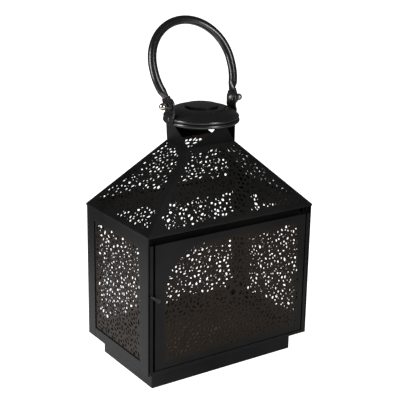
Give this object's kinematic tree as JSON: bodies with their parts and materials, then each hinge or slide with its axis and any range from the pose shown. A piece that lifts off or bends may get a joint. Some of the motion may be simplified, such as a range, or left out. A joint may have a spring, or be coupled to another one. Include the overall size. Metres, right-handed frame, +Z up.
{
  "type": "candle lantern",
  "caption": "Black punched tin lantern: pierced box on a plinth, hinged door with a turn button, pierced hip roof, spun cap and a swinging bail handle.",
  "frame": {"origin": "on the table, under the middle of the body", "axes": "+X along the door towards its hinge, -Y out of the door, +Z up"},
  "size_m": [0.1858, 0.1166, 0.3315],
  "materials": {
    "black_paint": "satin",
    "bright_nickel": "polished"
  },
  "bodies": {
    "lantern": {"ball_nuts": "bright_nickel", "cap_base": "black_paint", "cap_button": "black_paint", "cap_dome": "black_paint", "ear_left": "black_paint", "ear_right": "black_paint", "ear_rivets": "black_paint", "floor_plate": "black_paint", "neck_back": "black_paint", "neck_front": "black_paint", "neck_left": "black_paint", "neck_right": "black_paint", "panel_back": "black_paint", "panel_left": "black_paint", "panel_right": "black_paint", "pivot_bolts": "bright_nickel", "plinth_back": "black_paint", "plinth_front": "black_paint", "plinth_left": "black_paint", "plinth_right": "black_paint", "post_back_left": "black_paint", "post_back_right": "black_paint", "post_front_left": "black_paint", "post_front_right": "black_paint", "rail_back_bottom": "black_paint", "rail_back_top": "black_paint", "rail_front_bottom": "black_paint", "rail_front_top": "black_paint", "rail_left_bottom": "black_paint", "rail_left_top": "black_paint", "rail_right_bottom": "black_paint", "rail_right_top": "black_paint", "roof_back": "black_paint", "roof_front": "black_paint", "roof_left": "black_paint", "roof_right": "black_paint"},
    "door": {"door_sheet": "black_paint", "door_stile_hinge": "black_paint", "door_stile_latch": "black_paint", "door_rail_top": "black_paint", "door_rail_bottom": "black_paint", "hinge_rod": "black_paint", "latch_pivot": "black_paint"},
    "latch": {"latch_button": "black_paint"},
    "bail": {"bail": "black_paint"}
  },
  "joints": [
    {"name": "door_hinge", "type": "hinge", "parent": "lantern", "child": "door", "pos_m": [0.0838, -0.0544, 0.0864], "axis": [0, 0, 1], "range_deg": [0, 105]},
    {"name": "latch_swivel", "type": "hinge", "parent": "door", "child": "latch", "pos_m": [-0.0818, -0.058, 0.0931], "axis": [0, 1, 0], "range_deg": [-37, 53]},
    {"name": "bail_swing", "type": "hinge", "parent": "lantern", "child": "bail", "pos_m": [0, 0, 0.2555], "axis": [1, 0, 0], "range_deg": [-79.8, 130.2]}
  ]
}
